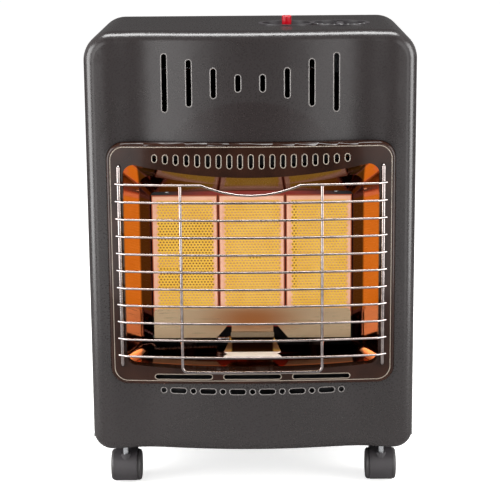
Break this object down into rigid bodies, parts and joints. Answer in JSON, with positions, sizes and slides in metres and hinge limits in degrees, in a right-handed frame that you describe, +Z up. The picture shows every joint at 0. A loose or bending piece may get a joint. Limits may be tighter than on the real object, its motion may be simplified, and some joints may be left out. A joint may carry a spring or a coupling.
{
  "type": "indoor propane cabinet heater",
  "caption": "Upright steel cabinet heater on twin-wheel casters: glowing ceramic plaques behind a bowed wire guard, top controls and a hinged rear cylinder cover.",
  "frame": {"origin": "on the floor, at the middle of the overall footprint", "axes": "+Z up, -Y out of the burner front, +X to the right seen from the front"},
  "size_m": [0.419, 0.464, 0.6165],
  "materials": {
    "cabinet_enamel": "satin charcoal enamel",
    "zinc_steel": "zinc-coated sheet, darkened by heat",
    "bezel_enamel": "gloss heat-proof enamel",
    "guard_chrome": "chrome-plated wire",
    "polished_stainless": "mirror-polished sheet",
    "brushed_stainless": "brushed, heat-tinted",
    "aluminised_steel": "matt aluminised sheet",
    "plaque_ceramic": "porous ceramic",
    "aluminium_tube": "drawn tube",
    "brass": "machined",
    "valve_casting": "die-cast",
    "bright_steel": "bright zinc",
    "spark_ceramic": "glazed ceramic",
    "black_plastic": "moulded, fine texture",
    "red_plastic": "moulded, glossy",
    "wheel_nylon": "moulded nylon"
  },
  "bodies": {
    "cabinet": {"front_panel": "cabinet_enamel", "cabinet_shell": "cabinet_enamel", "base_tray": "zinc_steel", "heat_shield": "zinc_steel", "burner_chassis": "zinc_steel", "burner_rail_top": "zinc_steel", "burner_rail_bottom": "zinc_steel", "injector_bar": "zinc_steel", "valve_bracket": "zinc_steel", "pilot_bracket": "zinc_steel", "burner_bezel": "bezel_enamel", "guard_grille": "guard_chrome", "reflector": "polished_stainless", "deflector_plate": "brushed_stainless", "pilot_shield": "brushed_stainless", "burner_box_left": "aluminised_steel", "burner_box_middle": "aluminised_steel", "burner_box_right": "aluminised_steel", "ceramic_plaque_left": "plaque_ceramic", "ceramic_plaque_middle": "plaque_ceramic", "ceramic_plaque_right": "plaque_ceramic", "gas_pipe_left": "aluminium_tube", "gas_pipe_middle": "aluminium_tube", "gas_pipe_right": "aluminium_tube", "pilot_tube": "aluminium_tube", "injectors": "brass", "gas_inlet": "brass", "pilot_burner": "brass", "gas_valve": "valve_casting", "igniter_spring": "bright_steel", "cabinet_screws": "bright_steel", "burner_screws": "bright_steel", "rear_hinges": "bright_steel", "rear_hinge_pins": "bright_steel", "thermocouple": "bright_steel", "caster_sockets": "bright_steel", "spark_electrode": "spark_ceramic", "control_dish": "black_plastic", "igniter_body": "black_plastic", "cover_catch": "black_plastic"},
    "rear_door": {"rear_cover": "cabinet_enamel"},
    "valve_spindle": {"valve_stem": "bright_steel"},
    "knob": {"control_knob": "black_plastic"},
    "button": {"igniter_button": "red_plastic"},
    "swivel_front_left": {"caster_stem_front_left": "bright_steel", "caster_hood_front_left": "black_plastic"},
    "wheels_front_left": {"caster_axle_front_left": "bright_steel", "caster_wheels_front_left": "wheel_nylon"},
    "swivel_front_right": {"caster_stem_front_right": "bright_steel", "caster_hood_front_right": "black_plastic"},
    "wheels_front_right": {"caster_axle_front_right": "bright_steel", "caster_wheels_front_right": "wheel_nylon"},
    "swivel_rear_left": {"caster_stem_rear_left": "bright_steel", "caster_hood_rear_left": "black_plastic"},
    "wheels_rear_left": {"caster_axle_rear_left": "bright_steel", "caster_wheels_rear_left": "wheel_nylon"},
    "swivel_rear_right": {"caster_stem_rear_right": "bright_steel", "caster_hood_rear_right": "black_plastic"},
    "wheels_rear_right": {"caster_axle_rear_right": "bright_steel", "caster_wheels_rear_right": "wheel_nylon"}
  },
  "joints": [
    {"name": "rear_cover_hinge", "type": "hinge", "parent": "cabinet", "child": "rear_door", "pos_m": [-0.2035, 0.0415, 0.33], "axis": [0, 0, 1], "range_deg": [0, 100]},
    {"name": "knob_push", "type": "slide", "parent": "cabinet", "child": "valve_spindle", "axis": [0, 0, -1], "range_m": [0, 0.004], "stiffness_N_per_m": 600, "springref_m": -0.004},
    {"name": "knob_turn", "type": "hinge", "parent": "valve_spindle", "child": "knob", "pos_m": [0.116, -0.096, 0.6], "axis": [0, 0, 1], "range_deg": [0, 210]},
    {"name": "igniter_press", "type": "slide", "parent": "cabinet", "child": "button", "axis": [0, 0, -1], "range_m": [0, 0.005], "stiffness_N_per_m": 400, "springref_m": -0.004, "deforming": ["igniter_spring"]},
    {"name": "swivel_front_left", "type": "hinge", "parent": "cabinet", "child": "swivel_front_left", "pos_m": [-0.17, -0.151, 0.05], "axis": [0, 0, 1], "continuous": true},
    {"name": "roll_front_left", "type": "hinge", "parent": "swivel_front_left", "child": "wheels_front_left", "pos_m": [-0.17, -0.137, 0.021], "axis": [1, 0, 0], "continuous": true},
    {"name": "swivel_front_right", "type": "hinge", "parent": "cabinet", "child": "swivel_front_right", "pos_m": [0.17, -0.151, 0.05], "axis": [0, 0, 1], "continuous": true},
    {"name": "roll_front_right", "type": "hinge", "parent": "swivel_front_right", "child": "wheels_front_right", "pos_m": [0.17, -0.137, 0.021], "axis": [1, 0, 0], "continuous": true},
    {"name": "swivel_rear_left", "type": "hinge", "parent": "cabinet", "child": "swivel_rear_left", "pos_m": [-0.17, 0.174, 0.05], "axis": [0, 0, 1], "continuous": true},
    {"name": "roll_rear_left", "type": "hinge", "parent": "swivel_rear_left", "child": "wheels_rear_left", "pos_m": [-0.17, 0.188, 0.021], "axis": [1, 0, 0], "continuous": true},
    {"name": "swivel_rear_right", "type": "hinge", "parent": "cabinet", "child": "swivel_rear_right", "pos_m": [0.17, 0.174, 0.05], "axis": [0, 0, 1], "continuous": true},
    {"name": "roll_rear_right", "type": "hinge", "parent": "swivel_rear_right", "child": "wheels_rear_right", "pos_m": [0.17, 0.188, 0.021], "axis": [1, 0, 0], "continuous": true}
  ]
}
